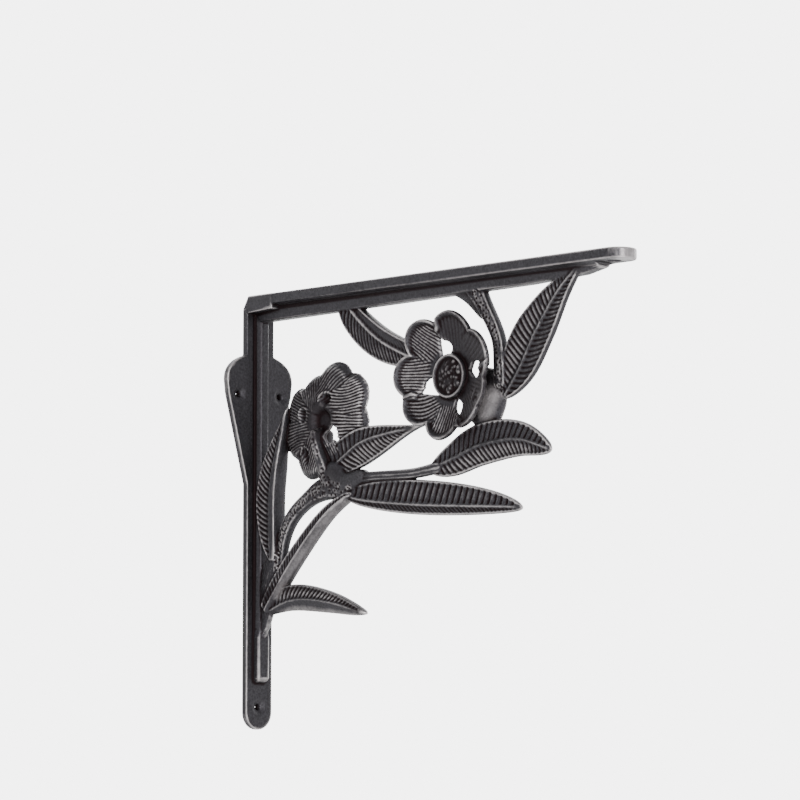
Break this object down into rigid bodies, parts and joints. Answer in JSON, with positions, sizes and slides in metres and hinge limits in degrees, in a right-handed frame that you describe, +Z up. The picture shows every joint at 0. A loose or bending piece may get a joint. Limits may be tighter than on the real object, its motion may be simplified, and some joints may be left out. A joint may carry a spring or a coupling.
{
  "type": "shelf bracket",
  "caption": "Cast-iron shelf bracket: an eared wall strap and a flanged arm, with an openwork corner of veined leaves, stems and open flowers between them.",
  "frame": {"origin": "on the wall face of the strap, midway between the two upper screw holes", "axes": "+X out of the wall along the arm, +Y along the wall, +Z up"},
  "size_m": [0.2835, 0.048, 0.2405],
  "materials": {
    "cast_iron": "burnished dark grey iron with worn bright edges and a fine cast grain"
  },
  "bodies": {
    "root": {"bracket_casting": "cast_iron"}
  },
  "joints": []
}
